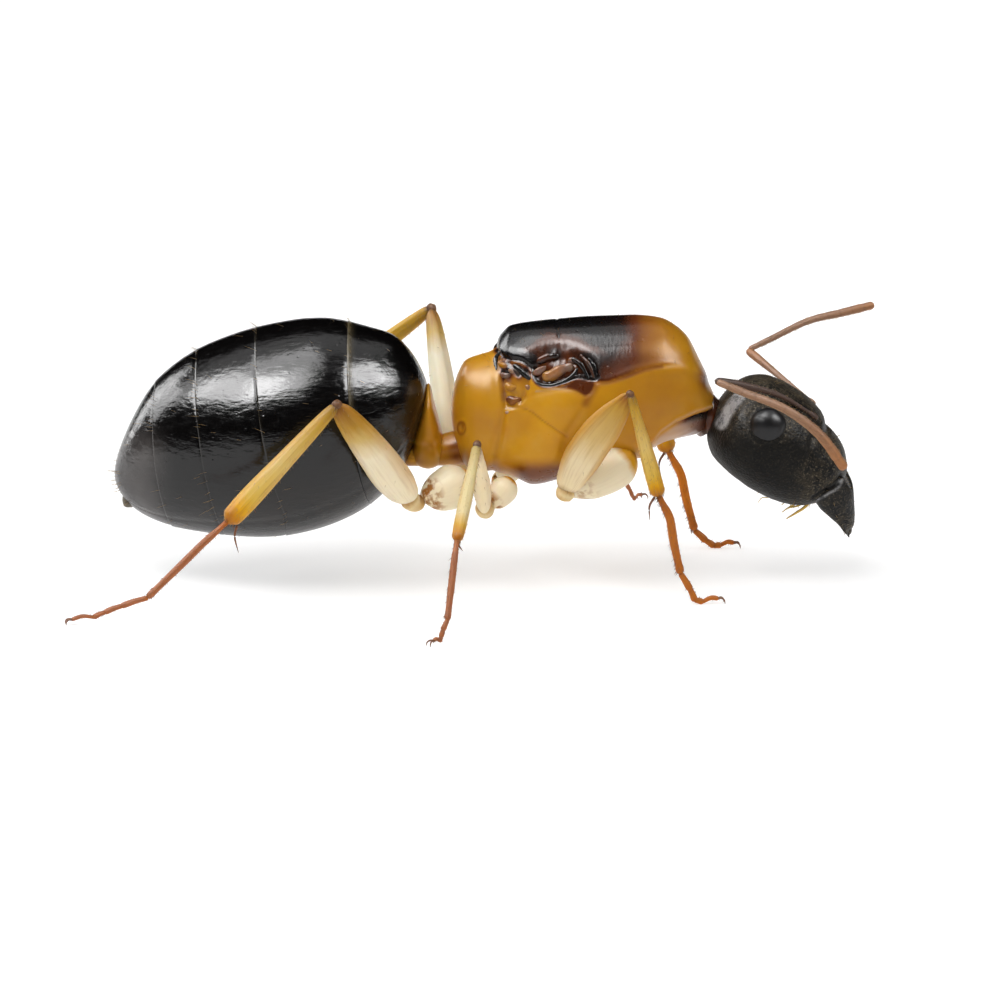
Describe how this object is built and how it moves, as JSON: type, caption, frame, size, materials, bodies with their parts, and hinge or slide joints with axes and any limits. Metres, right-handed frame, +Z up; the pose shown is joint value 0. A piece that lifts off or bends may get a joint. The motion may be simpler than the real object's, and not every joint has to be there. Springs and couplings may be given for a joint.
{
  "type": "queen carpenter ant model",
  "caption": "Life-size still model of a wingless queen carpenter ant standing on six feet, black and amber, with elbowed feelers.",
  "frame": {"origin": "on the floor below the middle of the model's bounding box", "axes": "+X forwards to the head, +Y to the ant's left side, +Z up"},
  "size_m": [0.0165, 0.0134, 0.0054],
  "materials": {
    "black_shell": "glossy black shell, finely pitted on the head",
    "eye": "smooth dark grey",
    "dark_back": "glossy blackish brown fading to red-brown",
    "amber_shell": "waxy amber shell",
    "cream_limb": "cream, brown at the joints",
    "amber_limb": "amber with fine streaks",
    "rust_foot": "red-brown with fine bristles",
    "brown_feeler": "warm brown"
  },
  "bodies": {
    "root": {"clypeus": "black_shell", "coxa_front_left": "cream_limb", "coxa_front_right": "cream_limb", "coxa_hind_left": "cream_limb", "coxa_hind_right": "cream_limb", "coxa_middle_left": "cream_limb", "coxa_middle_right": "cream_limb", "eye_left": "eye", "eye_right": "eye", "femur_front_left": "cream_limb", "femur_front_right": "cream_limb", "femur_hind_left": "cream_limb", "femur_hind_right": "cream_limb", "femur_middle_left": "cream_limb", "femur_middle_right": "cream_limb", "flagellum_base_left": "brown_feeler", "flagellum_base_right": "brown_feeler", "flagellum_tip_left": "brown_feeler", "flagellum_tip_right": "brown_feeler", "gaster_1": "black_shell", "gaster_2": "black_shell", "gaster_3": "black_shell", "gaster_4": "black_shell", "gaster_5": "black_shell", "head": "black_shell", "mandible_left": "black_shell", "mandible_right": "black_shell", "mesopleura": "amber_shell", "mesoscutellum": "dark_back", "mesoscutum": "dark_back", "metatarsus_front_left": "rust_foot", "metatarsus_front_right": "rust_foot", "metatarsus_hind_left": "rust_foot", "metatarsus_hind_right": "rust_foot", "metatarsus_middle_left": "rust_foot", "metatarsus_middle_right": "rust_foot", "petiole": "amber_shell", "pronotum": "amber_shell", "propodeum": "amber_shell", "scape_left": "brown_feeler", "scape_right": "brown_feeler", "tarsus_front_left": "rust_foot", "tarsus_front_right": "rust_foot", "tarsus_hind_left": "rust_foot", "tarsus_hind_right": "rust_foot", "tarsus_middle_left": "rust_foot", "tarsus_middle_right": "rust_foot", "tibia_front_left": "amber_limb", "tibia_front_right": "amber_limb", "tibia_hind_left": "amber_limb", "tibia_hind_right": "amber_limb", "tibia_middle_left": "amber_limb", "tibia_middle_right": "amber_limb"}
  },
  "joints": []
}
